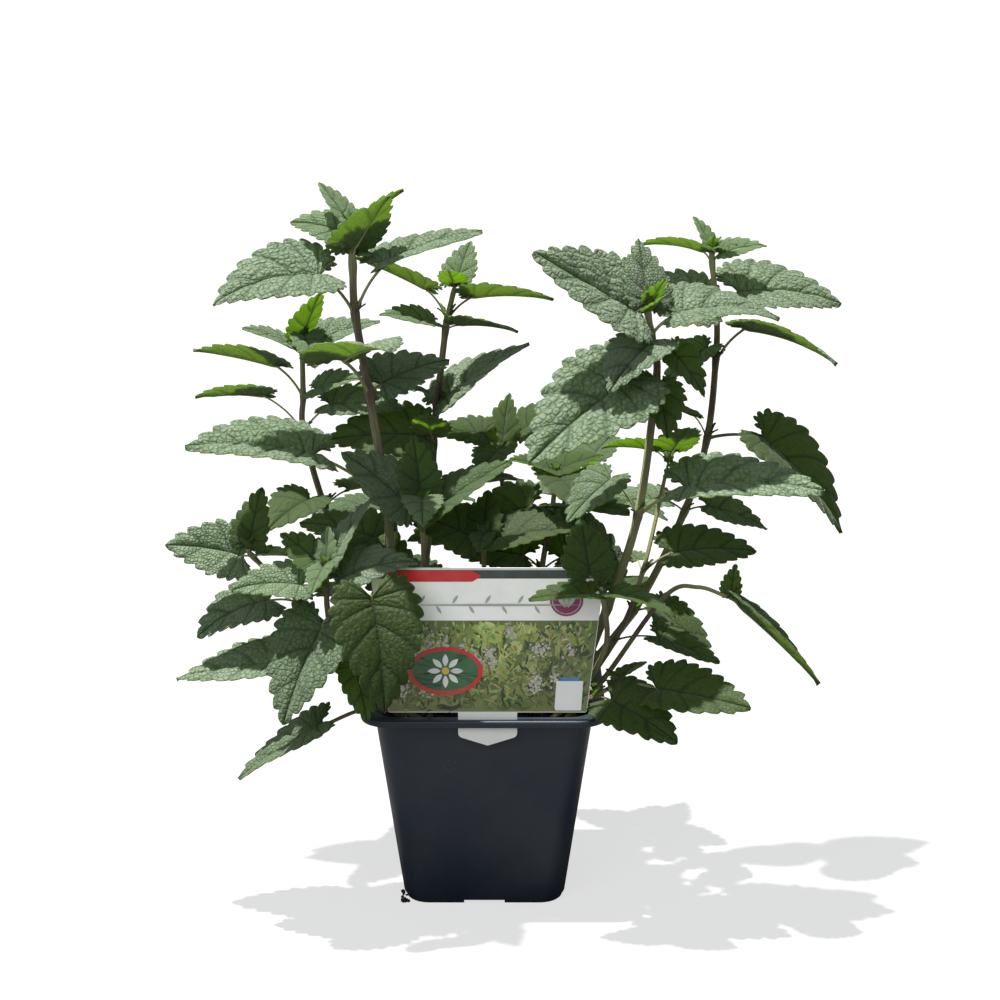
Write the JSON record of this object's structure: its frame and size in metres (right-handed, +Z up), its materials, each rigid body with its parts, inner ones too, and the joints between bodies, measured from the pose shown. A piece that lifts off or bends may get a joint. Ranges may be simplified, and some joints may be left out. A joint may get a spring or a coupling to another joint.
{
  "type": "potted catnip",
  "caption": "Leafy catnip herb with square stems and toothed heart-shaped leaves, growing in a square nursery pot with a plant label.",
  "frame": {"origin": "middle of the pot's flat base, on the surface that it stands on", "axes": "+Z up; -Y is the side with the plant label, which faces a viewer in front; +X to that viewer's right"},
  "size_m": [0.3643, 0.2194, 0.3877],
  "materials": {
    "pot_plastic": "satin",
    "peat": "rough crumbs of moist peat",
    "label_card": "printed, slightly glossy",
    "leaf_green": "downy, wrinkled leaves and stems"
  },
  "bodies": {
    "root": {"pot": "pot_plastic", "soil": "peat", "label": "label_card", "shoot_left_tall": "leaf_green", "shoot_left_back": "leaf_green", "shoot_middle_back": "leaf_green", "shoot_left_inner": "leaf_green", "shoot_left_low": "leaf_green", "shoot_left_far": "leaf_green", "shoot_left_ground": "leaf_green", "leaf_left_rim": "leaf_green", "shoot_right_tall": "leaf_green", "shoot_right_back": "leaf_green", "shoot_right_corner": "leaf_green", "shoot_right_mid": "leaf_green", "shoot_right_trailing": "leaf_green", "shoot_right_low": "leaf_green", "shoot_middle_front": "leaf_green", "shoot_middle_right": "leaf_green", "shoot_back_middle": "leaf_green", "shoot_back_right": "leaf_green", "shoot_back_left": "leaf_green"}
  },
  "joints": []
}
